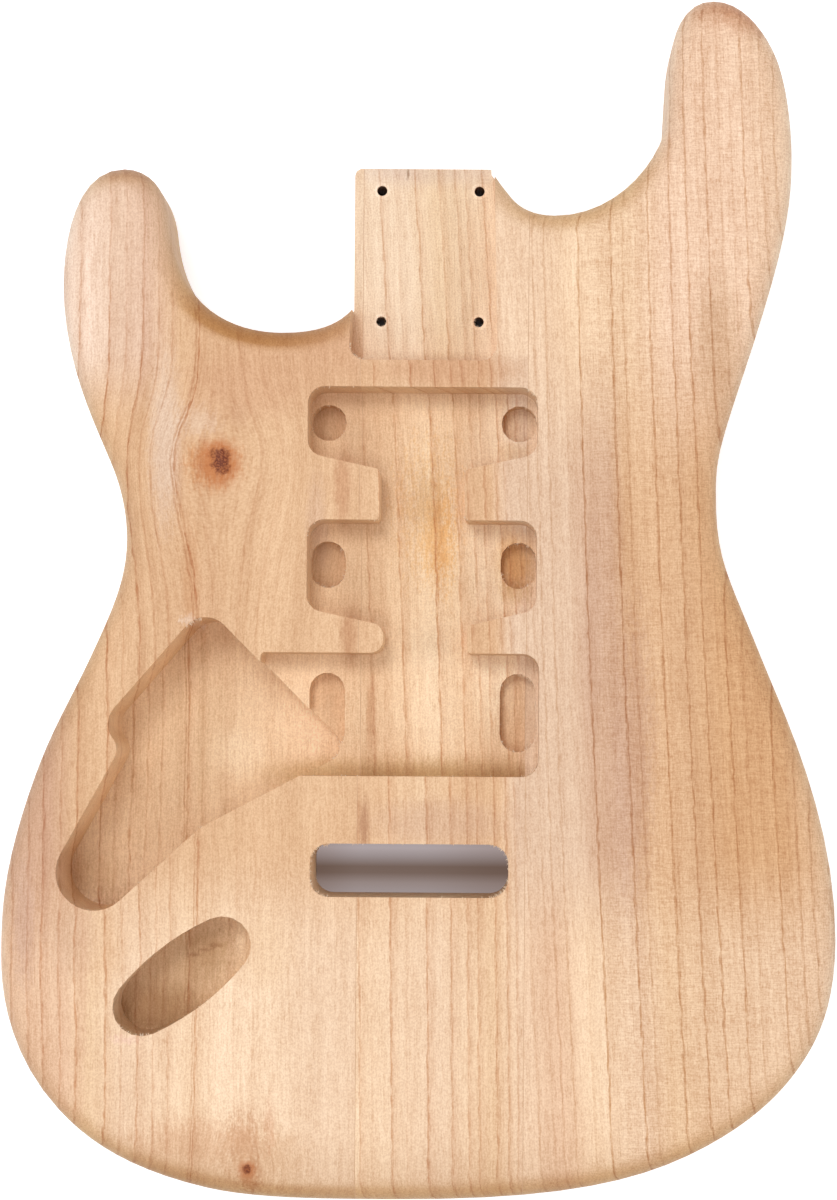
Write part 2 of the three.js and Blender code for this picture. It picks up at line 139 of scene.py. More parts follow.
# Shader nodes
class Bench:
    """Places nodes in one tree and joins them."""

    def __init__(self, tree):
        self.tree = tree

    def put(self, kind, **settings):
        node = self.tree.nodes.new(kind)
        for name, value in settings.items():
            setattr(node, name, value)
        return node

    def feed(self, socket, source):
        """Joins a socket to another node's output, or sets it to a plain value."""
        if isinstance(source, bpy.types.NodeSocket):
            self.tree.links.new(source, socket)
        else:
            socket.default_value = source

    def maths(self, operation, first, second=0.0, third=0.0):
        node = self.put("ShaderNodeMath", operation=operation)
        for socket, source in zip(node.inputs, (first, second, third)):
            self.feed(socket, source)
        return node.outputs[0]

    def plus(self, first, second):
        return self.maths("ADD", first, second)

    def minus(self, first, second):
        return self.maths("SUBTRACT", first, second)

    def times(self, first, *others):
        for other in others:
            first = self.maths("MULTIPLY", first, other)
        return first

    def over(self, first, second):
        return self.maths("DIVIDE", first, second)

    def unsigned(self, value):
        """A value without its sign."""
        return self.maths("ABSOLUTE", value)

    def vector_maths(self, operation, first, second):
        node = self.put("ShaderNodeVectorMath", operation=operation)
        self.feed(node.inputs[0], first)
        self.feed(node.inputs[1], second)
        return node.outputs[0]

    def length(self, place):
        node = self.put("ShaderNodeVectorMath", operation="LENGTH")
        self.feed(node.inputs[0], place)
        return node.outputs["Value"]

    def split(self, place):
        node = self.put("ShaderNodeSeparateXYZ")
        self.feed(node.inputs[0], place)
        return node.outputs[0], node.outputs[1], node.outputs[2]

    def joined(self, across, along, deep):
        node = self.put("ShaderNodeCombineXYZ")
        for socket, source in zip(node.inputs, (across, along, deep)):
            self.feed(socket, source)
        return node.outputs[0]

    def from_middle(self, place, middle):
        """How far a place lies from a middle, across the board and along it."""
        return self.split(self.vector_maths("SUBTRACT", place, middle))[:2]

    def noise(self, place, size, detail, roughness, twist=0.0):
        """Soft noise whose marks have a size along each of the three directions."""
        node = self.put("ShaderNodeTexNoise", noise_dimensions="3D")
        self.feed(node.inputs["Vector"], self.vector_maths("DIVIDE", place, size))
        self.feed(node.inputs["Scale"], 1.0)
        self.feed(node.inputs["Detail"], detail)
        self.feed(node.inputs["Roughness"], roughness)
        self.feed(node.inputs["Distortion"], twist)
        return node.outputs["Fac"]

    def rise(self, value, start, stop, low=0.0, high=1.0):
        """Goes smoothly from low to high while the value goes from start to stop."""
        node = self.put("ShaderNodeMapRange", interpolation_type="SMOOTHSTEP")
        for socket, source in zip(node.inputs[:5], (value, start, stop, low, high)):
            self.feed(socket, source)
        return node.outputs[0]

    def fall(self, value, start, stop):
        """Goes smoothly from 1 to 0 while the value goes from start to stop."""
        return self.rise(value, start, stop, 1.0, 0.0)

    def ramp(self, value, low, high, stops):
        """A colour ramp whose stops are (place in mm, level or colour), from low to high mm."""
        share = self.put("ShaderNodeMapRange", interpolation_type="LINEAR")
        for socket, source in zip(share.inputs[:5], (value, low, high, 0.0, 1.0)):
            self.feed(socket, source)
        node = self.put("ShaderNodeValToRGB")
        band = node.color_ramp
        while len(band.elements) > 1:
            band.elements.remove(band.elements[-1])
        for count, (place, level) in enumerate(stops):
            at = min(max((place - low) / (high - low), 0), 1)
            element = band.elements[0] if count == 0 else band.elements.new(at)
            element.position = at
            element.color = level if isinstance(level, tuple) else (level, level, level, 1)
        self.feed(node.inputs[0], share.outputs[0])
        return node.outputs["Color"]

    def tint(self, under, over, share, blend="MIX"):
        """Lays one colour over another. The node takes colours at 6 and 7 and gives one at 2."""
        node = self.put("ShaderNodeMix", data_type="RGBA", blend_type=blend, clamp_factor=False)
        self.feed(node.inputs["Factor"], share)
        self.feed(node.inputs[6], under)
        self.feed(node.inputs[7], over)
        return node.outputs[2]

    def shade(self, colour, factor, share):
        """Multiplies a colour by a factor, as far as the share says."""
        return self.tint(colour, factor, share, "MULTIPLY")

    def group(self, tree, **values):
        node = self.put("ShaderNodeGroup", node_tree=tree)
        for name, value in values.items():
            self.feed(node.inputs[name.replace("_", " ")], value)
        return node.outputs

    def surface(self, colour, roughness):
        """The material's shader and output. Gives the shader's sockets."""
        shader = self.put("ShaderNodeBsdfPrincipled")
        self.feed(shader.inputs["Base Color"], colour)
        self.feed(shader.inputs["Roughness"], roughness)
        finish = self.put("ShaderNodeOutputMaterial")
        self.feed(finish.inputs["Surface"], shader.outputs[0])
        return shader.inputs


def new_material(name):
    """An empty material and the bench to fill it."""
    material = bpy.data.materials.new(name)
    material.use_nodes = True
    material.node_tree.nodes.clear()
    return material, Bench(material.node_tree)


def new_group(name, takes, gives):
    """An empty shader node group with named inputs and outputs, and the bench to fill it."""
    tree = bpy.data.node_groups.new(name, "ShaderNodeTree")
    kinds = {"value": "NodeSocketFloat", "place": "NodeSocketVector"}
    for label, kind in takes.items():
        tree.interface.new_socket(label, in_out="INPUT", socket_type=kinds[kind])
    for label, kind in gives.items():
        tree.interface.new_socket(label, in_out="OUTPUT", socket_type=kinds[kind])
    bench = Bench(tree)
    return tree, bench, bench.put("NodeGroupInput").outputs, bench.put("NodeGroupOutput").inputs


# Patterns of the wood

# A noise is its size in mm across the board, along it and deep into it, then its detail and
# roughness, and for the knots' curl how far it is twisted.
MIDDLE_OF_NOISE = 0.5
KNOT_EDGE_NOISE = ((2.6, 3.4, 6.0), 4.0, 0.65)
KNOT_EDGE_SWING = 1.7
KNOT_CURL_NOISE = ((2.4, 1.6, 3.0), 2.0, 0.6, 2.6)
KNOT_CURL_RISE = (0.46, 0.62, 0.0, 0.75)
KNOT_CORE_EDGE = (0.4, 0.95)
KNOT_HALO_EDGE = (0.7, 2.1)
KNOT_TOWARDS_TAIL = 0.72
KNOT_TOWARDS_NECK = 1.25
WAIST = 150.0
SWAY_NOISE = ((45.0, 70.0, 80.0), 1.0, 0.5)
JITTER_NOISE = ((2.0, 6.5, 9.0), 2.0, 0.5)
JITTER_REACH = 2.0
RAY_NOISE = ((3.4, 0.42, 2.0), 1.0, 0.6)
RAY_LEVELS = (0.34, 0.66)
STAIN_TORN_NOISE = ((1.4, 7.0, 9.0), 3.0, 0.6)
STAIN_GRIT_NOISE = ((0.9, 1.6, 2.0), 2.0, 0.6)
STAIN_EDGE = (0.2, 1.0)

# Each mark of the grain has its noise, and the levels of it between which the mark comes out.
GRAIN_MARKS = {
    "Fibre": (((0.62, 13.0, 0.62), 2.0, 0.7), (0.28, 0.72)),
    "Pores": (((0.5, 4.6, 0.5), 0.0, 0.5), (0.58, 0.74)),
    "Speckle": (((0.58, 0.72, 0.58), 1.0, 0.5), (0.3, 0.7)),
    "Streaks": (((3.2, 90.0, 8.0), 3.0, 0.62), (0.32, 0.68)),
    "Mottle": (((15.0, 34.0, 20.0), 2.0, 0.5), (0.3, 0.7)),
}


def knot_group():
    """A knot: how far it pushes the grain aside, its dark core and the stained wood round it."""
    tree, bench, takes, gives = new_group(
        "knot",
        {"Place": "place", "Middle": "place", "Radius": "value", "Reach": "value", "Push": "value"},
        {"Shift": "value", "Core": "value", "Halo": "value", "Swirl": "value"},
    )
    across, along = bench.from_middle(takes["Place"], takes["Middle"])
    towards_tail = bench.times(along, -KNOT_TOWARDS_TAIL)
    towards_neck = bench.times(along, KNOT_TOWARDS_NECK)
    flat = bench.joined(across, bench.maths("MAXIMUM", towards_tail, towards_neck), 0.0)
    away = bench.length(flat)
    near = bench.over(away, takes["Reach"])
    fade = bench.maths("EXPONENT", bench.times(near, near, -1.0))
    bench.feed(gives["Shift"], bench.times(across, fade, takes["Push"], -1.0))
    ragged = bench.noise(takes["Place"], *KNOT_EDGE_NOISE)
    edge = bench.times(bench.minus(ragged, MIDDLE_OF_NOISE), KNOT_EDGE_SWING)
    turns = bench.plus(bench.over(away, takes["Radius"]), edge)
    bench.feed(gives["Core"], bench.fall(turns, *KNOT_CORE_EDGE))
    bench.feed(gives["Halo"], bench.fall(turns, *KNOT_HALO_EDGE))
    curl = bench.noise(takes["Place"], *KNOT_CURL_NOISE)
    bench.feed(gives["Swirl"], bench.rise(curl, *KNOT_CURL_RISE))
    return tree


def grain_course_group():
    """Where a point lies in the board's grain: across the rings, along the fibres, and deep."""
    tree, bench, takes, gives = new_group(
        "grain_course",
        {
            "Place": "place", "Slope": "value", "Bend": "value", "Lean": "value",
            "Wander": "value", "Gather": "value", "Heart": "value",
        },
        {"Across": "value", "Course": "place"},
    )
    across, along, deep = bench.split(takes["Place"])
    drift = bench.times(along, bench.maths("MULTIPLY_ADD", along, takes["Bend"], takes["Slope"]))
    straight = bench.minus(across, drift)
    from_front = bench.minus(deep, THICKNESS)
    leaning = bench.minus(straight, bench.times(from_front, takes["Lean"]))
    spread = bench.minus(1.0, bench.times(bench.minus(along, WAIST), takes["Gather"]))
    from_heart = bench.minus(leaning, takes["Heart"])
    gathered = bench.plus(bench.over(from_heart, spread), takes["Heart"])
    slow = bench.minus(bench.noise(takes["Place"], *SWAY_NOISE), MIDDLE_OF_NOISE)
    quick = bench.minus(bench.noise(takes["Place"], *JITTER_NOISE), MIDDLE_OF_NOISE)
    swaying = bench.plus(gathered, bench.times(slow, takes["Wander"]))
    bench.feed(gives["Across"], bench.plus(swaying, bench.times(quick, JITTER_REACH)))
    bench.feed(gives["Course"], bench.joined(swaying, along, deep))
    return tree


def fibres_group():
    """Fine fibres, short open pores, specks and broad soft streaks along the grain."""
    marks = dict.fromkeys(GRAIN_MARKS, "value")
    tree, bench, takes, gives = new_group("fibres", {"Course": "place"}, marks)
    for label, (noise, levels) in GRAIN_MARKS.items():
        level = bench.noise(takes["Course"], *noise)
        bench.feed(gives[label], bench.rise(level, *levels))
    return tree


def ray_flecks_group():
    """Short flecks that lie across the grain where a board is cut near the quarter."""
    tree, bench, takes, gives = new_group("ray_flecks", {"Course": "place"}, {"Flecks": "value"})
    flecks = bench.noise(takes["Course"], *RAY_NOISE)
    bench.feed(gives["Flecks"], bench.rise(flecks, *RAY_LEVELS))
    return tree


def stain_group():
    """A soft-edged stain of a given half width and half length."""
    tree, bench, takes, gives = new_group(
        "stain",
        {"Place": "place", "Middle": "place", "Half Size": "place", "Ragged": "value"},
        {"Mask": "value"},
    )
    across, along = bench.from_middle(takes["Place"], takes["Middle"])
    flat = bench.joined(across, along, 0.0)
    away = bench.length(bench.vector_maths("DIVIDE", flat, takes["Half Size"]))
    torn = bench.noise(takes["Place"], *STAIN_TORN_NOISE)
    grit = bench.noise(takes["Place"], *STAIN_GRIT_NOISE)
    swing = bench.minus(bench.plus(torn, grit), 2 * MIDDLE_OF_NOISE)
    edge = bench.times(swing, takes["Ragged"])
    bench.feed(gives["Mask"], bench.fall(bench.plus(away, edge), *STAIN_EDGE))
    return tree


knot = knot_group()
grain_course = grain_course_group()
fibres = fibres_group()
ray_flecks = ray_flecks_group()
stain = stain_group()

# Strengths of the grain's marks, and the shade at which they leave the colour as it is
GRAIN_STRENGTHS = {"Fibre": 0.30, "Speckle": 0.44, "Streaks": 0.25, "Mottle": 0.12}
MIDDLE_SHADE = 0.58

# A growth ring's outline in mm from its place
RING_START = -0.5
RING_DARK = (-0.1, 0.25)
RING_AFTER = 0.65
RING_END = 4.5
RING_BEFORE_NEXT = 0.7
RING_DASH_NOISE = ((0.6, 7.0, 3.0), 3.0, 0.65)
RING_DASHES = (0.34, 0.62, 0.4, 1.25)

# Stations along the body, in mm from the tail
TAIL_TONES_END = (92, 140)
TAIL_RINGS_END = (185, 225)
HORN_RINGS_START = (320, 370)
HORN_TOPS = (395, 415)
TAIL_ROUNDING = (2, 30)
TAIL_SHADE_END = (5, 30)

# Depths below the front face, in mm
FRONT_RIM = (0.1, 0.42)
CUT_FLOORS = (6.0, 16.0)
BORE_TOP = (16.2, 17.4)
DEEP_POCKETS_FROM = (20, 24)
DEEP_POCKETS_TO = (26, 30)
DEEPEST_FLOOR = (26, 31)

# Shares of a face's normal between which end grain, pale rings round the bolt holes, and painted
# light and shade come or go
END_GRAIN = (0.04, 0.7)
UPRIGHT_WALL = (0.03, 0.15)
CUT_WALL = (0.2, 0.9)
FACING_UP = (0.7, 0.95)
RIM_SLOPE = (0.8, 0.98)
ROUNDED_EDGE = (0.9, 0.995)

# Strengths of the finishes
END_GRAIN_STRENGTH = 0.9
UPRIGHT_END_GRAIN = 0.4
HORN_END_GRAIN = 0.25
TAIL_END_GRAIN = 1.2
HALO_STRENGTH = 0.62
CORE_STRENGTH = 0.95
BORE_HALF_SIZE = (5.4, 5.4)
BORE_HALO_EDGE = (0.5, 0.6)
BORE_EDGE = (0.2, 0.3)
GRAIN_ROUGHNESS = (0.5, 0.64)
WOOD_SHINE = 0.3
BUMP_STRENGTH = 0.35
BUMP_HEIGHT = 0.12 * MM
BUMP_FIBRE = -0.5
BUMP_PORE = -1.0
BUMP_RING = -0.6


def ring_stops(places, after):
    """Ramp stops for growth rings: a sharp dark line, then wood that slowly turns pale again."""
    stops = []
    ends = [place - RING_BEFORE_NEXT for place, _ in places[1:]] + [places[-1][0] + RING_END]
    for (place, depth), end in zip(places, ends):
        stops.append((place + RING_START, 0.0))
        stops.extend((place + edge, depth) for edge in RING_DARK)
        stops.append((place + RING_AFTER, after * depth))
        stops.append((min(place + RING_END, end), 0.0))
    return stops


def stain_mask(bench, place, middle, half_size, ragged):
    """How strongly a stain covers each place."""
    half_size = (*half_size, 1)
    return bench.group(
        stain, Place=place, Middle=(*middle, 0), Half_Size=half_size, Ragged=ragged
    )["Mask"]


def body_place(bench, where):
    """Places in mm: across from the middle line, along from the tail, and up from the back."""
    mapped = bench.put("ShaderNodeMapping", vector_type="POINT")
    bench.feed(mapped.inputs["Vector"], where.outputs["Object"])
    bench.feed(mapped.inputs["Scale"], (1 / MM, 1 / MM, 1 / MM))
    bench.feed(mapped.inputs["Location"], (0, -TAIL, 0))
    return mapped.outputs[0]


def grain_places(bench, place, board):
    """Places across the rings and along the grain, bent round the knots, and the knots' marks."""
    slope, bend, lean, wander = board["drift"]
    gather, heart = board["gather"]
    grain = bench.group(
        grain_course, Place=place, Slope=slope, Bend=bend, Lean=lean, Wander=wander,
        Gather=gather, Heart=heart,
    )
    across, course = grain["Across"], grain["Course"]
    marks = []
    for middle, radius, reach, push in board["knots"]:
        mark = bench.group(
            knot, Place=place, Middle=(*middle, 0), Radius=radius, Reach=reach, Push=push
        )
        across = bench.plus(across, mark["Shift"])
        course = bench.vector_maths("ADD", course, bench.joined(mark["Shift"], 0.0, 0.0))
        marks.append(mark)
    return across, course, marks


def board_tones(bench, place, across, board):
    """The broad tones of a board from tail to horn, with its stains."""
    along = bench.split(place)[1]
    tail, waist, horn = (
        bench.ramp(across, *board["span"], board[tones])
        for tones in ("tail_tones", "waist_tones", "horn_tones")
    )
    colour = bench.tint(tail, waist, bench.rise(along, *TAIL_TONES_END))
    colour = bench.tint(colour, horn, bench.rise(along, *board["horn_from"]))
    for middle, half_size, ragged, tone, strength in board["stains"]:
        mask = stain_mask(bench, place, middle, half_size, ragged)
        colour = bench.tint(colour, tone, bench.times(mask, strength))
    return colour


def growth_rings(bench, place, across, course, board):
    """Where the dark late wood of the growth rings shows, and how strongly."""
    along = bench.split(place)[1]
    rings = None
    for start, stop, places in board["rings"]:
        marks = bench.ramp(across, start, stop, ring_stops(places, board["after_ring"]))
        rings = marks if rings is None else bench.maths("MAXIMUM", rings, marks)
    dashes = bench.noise(course, *RING_DASH_NOISE)
    return bench.times(
        rings,
        bench.rise(dashes, *RING_DASHES),
        bench.rise(along, *TAIL_RINGS_END, board["tail_rings"], 1.0),
        bench.rise(along, *HORN_RINGS_START, 1.0, board["horn_rings"]),
    )


def grain_depth(bench, grain, across, course, board):
    """How much darker or paler than the board's tone the grain is at each place."""
    depth = 0.0
    for mark, strength in {**GRAIN_STRENGTHS, "Pores": board["pores"]}.items():
        depth = bench.maths("MULTIPLY_ADD", grain[mark], strength, depth)
    if board["flecks"]:
        start, stop, strength = board["flecks"]
        flecks = bench.group(ray_flecks, Course=course)["Flecks"]
        flecks = bench.times(flecks, bench.rise(across, start, stop))
        depth = bench.maths("MULTIPLY_ADD", flecks, strength, depth)
    return bench.minus(depth, MIDDLE_SHADE)


def knot_colour(bench, colour, marks):
    """Paints the knots into the wood."""
    for mark in marks:
        colour = bench.tint(colour, KNOT_HALO, bench.times(mark["Halo"], HALO_STRENGTH))
        heart = bench.tint(KNOT_CORE, KNOT_SWIRL, mark["Swirl"])
        colour = bench.tint(colour, heart, bench.times(mark["Core"], CORE_STRENGTH))
    return colour


def end_grain(bench, along, facing_along, facing_front):
    """How much end grain a face shows."""
    return bench.times(
        bench.rise(bench.unsigned(facing_along), *END_GRAIN),
        bench.rise(bench.unsigned(facing_front), *UPRIGHT_WALL, UPRIGHT_END_GRAIN, 1.0),
        bench.rise(along, *HORN_TOPS, 1.0, HORN_END_GRAIN),
        bench.rise(along, *TAIL_ROUNDING, TAIL_END_GRAIN, 1.0),
    )


def shade_patches(bench, colour, place, patches, only):
    """Shades patches of the wood, only as far as one more mask lets them show."""
    for middle, half_size, ragged, shade, strength in patches:
        mask = stain_mask(bench, place, middle, half_size, ragged)
        colour = bench.shade(colour, shade, bench.times(mask, strength, only))
    return colour


def floor_colour(bench, colour, place, depth, facing_up, patches):
    """Painted light on the floors of the cuts, more on the deepest, darker deep pockets, and patches
    of painted light, painted shade and real stains.
    """
    floors = bench.times(facing_up, bench.rise(depth, *CUT_FLOORS))
    deepest = bench.times(facing_up, bench.rise(depth, *DEEPEST_FLOOR))
    pockets = bench.times(
        bench.rise(depth, *DEEP_POCKETS_FROM), bench.fall(depth, *DEEP_POCKETS_TO), floors
    )
    # Painted light on the floors of the cuts, more on the deepest
    colour = bench.shade(colour, PAINTED_LIGHT_ON_FLOORS, floors)
    colour = bench.shade(colour, PAINTED_LIGHT_ON_DEEPEST, deepest)
    colour = shade_patches(bench, colour, place, patches, floors)
    return bench.shade(colour, POCKET_SHADE, pockets)


def wall_colour(bench, colour, place, depth, normal, patches):
    """End grain on the walls, painted light on the walls and sides, patches of painted light,
    painted shade and real stains on the walls and rounded edges, and a painted highlight round the
    front.
    """
    along = bench.split(place)[1]
    _, facing_along, facing_front = bench.split(normal)
    ends = end_grain(bench, along, facing_along, facing_front)
    colour = bench.shade(colour, END_SHADE, bench.times(ends, END_GRAIN_STRENGTH))
    # Painted light on the walls and sides
    colour = bench.shade(colour, PAINTED_WALL_LIGHT, bench.fall(bench.unsigned(facing_front), *CUT_WALL))
    rounded = bench.fall(facing_front, *ROUNDED_EDGE)
    colour = shade_patches(bench, colour, place, patches, rounded)
    # A painted highlight along the rims at the front
    rim = bench.times(bench.fall(depth, *FRONT_RIM), bench.fall(facing_front, *RIM_SLOPE))
    return bench.shade(colour, PAINTED_RIM_HIGHLIGHT, rim)


def bore_colour(bench, colour, place, depth, facing_up, holes):
    """Pale wood round each bolt hole, and painted shade inside it."""
    for middle in holes:
        bore = stain_mask(bench, place, middle, BORE_HALF_SIZE, 0.0)
        halo = bench.times(bench.rise(bore, *BORE_HALO_EDGE), facing_up)
        colour = bench.shade(colour, BORE_HALO, halo)
        # Painted shade inside the hole, below the pocket floor
        inside = bench.times(bench.rise(bore, *BORE_EDGE), bench.rise(depth, *BORE_TOP))
        colour = bench.shade(colour, PAINTED_SHADE_IN_BORES, inside)
    return colour


def cut_colour(bench, colour, place, normal, board):
    """The wood's colour where the board was cut, with painted light and shade: floors, walls, rims
    and bolt holes.
    """
    _, along, height = bench.split(place)
    depth = bench.minus(THICKNESS, height)
    facing_up = bench.rise(bench.split(normal)[2], *FACING_UP)
    colour = bench.shade(colour, TAIL_SHADE, bench.fall(along, *TAIL_SHADE_END))
    colour = floor_colour(bench, colour, place, depth, facing_up, board["floor_light_shade_and_stains"])
    colour = wall_colour(bench, colour, place, depth, normal, board["edge_light_shade_and_stains"])
    return bore_colour(bench, colour, place, depth, facing_up, board["bolt_holes"])


def grain_relief(bench, grain, rings):
    """A slight relief: fibres, pores and rings lie a little below the face."""
    height = bench.times(grain["Pores"], BUMP_PORE)
    height = bench.maths("MULTIPLY_ADD", grain["Fibre"], BUMP_FIBRE, height)
    height = bench.maths("MULTIPLY_ADD", rings, BUMP_RING, height)
    bump = bench.put("ShaderNodeBump")
    bench.feed(bump.inputs["Strength"], BUMP_STRENGTH)
    bench.feed(bump.inputs["Distance"], BUMP_HEIGHT)
    bench.feed(bump.inputs["Height"], height)
    return bump.outputs[0]


def wood(name, board):
    """Bare sanded wood of one board, with its own rings, tones, knots and stains."""
    material, bench = new_material(name)
    where = bench.put("ShaderNodeTexCoord")
    place = body_place(bench, where)
    across, course, knot_marks = grain_places(bench, place, board)
    grain = bench.group(fibres, Course=course)
    rings = growth_rings(bench, place, across, course, board)
    colour = board_tones(bench, place, across, board)
    colour = bench.shade(colour, GRAIN_SHADE, grain_depth(bench, grain, across, course, board))
    colour = bench.shade(colour, board["ring_shade"], bench.times(rings, board["ring_strength"]))
    colour = knot_colour(bench, colour, knot_marks)
    colour = cut_colour(bench, colour, place, where.outputs["Normal"], board)
    sockets = bench.surface(colour, bench.rise(grain["Fibre"], 0.0, 1.0, *GRAIN_ROUGHNESS))
    bench.feed(sockets["Specular IOR Level"], WOOD_SHINE)
    bench.feed(sockets["Normal"], grain_relief(bench, grain, rings))
    return material


# Dried glue and loose fibres, with the sizes of their spots in metres
SPOT_LEVELS = (0.3, 0.7)
SPOT_ROUGHNESS = 0.6
GLUE_SPOTS = (0.004, 0.012, 0.01)
GLUE_DETAIL = 3.0
GLUE_ROUGHNESS = (0.45, 0.6)
FIBRE_SPOTS = (0.001, 0.003, 0.001)
FIBRE_DETAIL = 2.0
FIBRE_ROUGHNESS = (0.6, 0.8)


def spotted(name, spots, detail, dark, pale, roughness):
    """A plain finish that goes softly from a dark tone to a pale one in spots."""
    material, bench = new_material(name)
    where = bench.put("ShaderNodeTexCoord")
    level = bench.noise(where.outputs["Object"], spots, detail, SPOT_ROUGHNESS)
    colour = bench.tint(dark, pale, bench.rise(level, *SPOT_LEVELS))
    bench.surface(colour, bench.rise(level, *SPOT_LEVELS, *roughness))
    return material


def glue(name):
    """Dried glue squeezed thin between two boards."""
    return spotted(name, GLUE_SPOTS, GLUE_DETAIL, DARK_GLUE, PALE_GLUE, GLUE_ROUGHNESS)


def pale_fibre(name):
    """Dry loose fibres, paler than the board that they were torn from."""
    return spotted(name, FIBRE_SPOTS, FIBRE_DETAIL, DARK_FIBRE, PALE_FIBRE, FIBRE_ROUGHNESS)


# The three boards

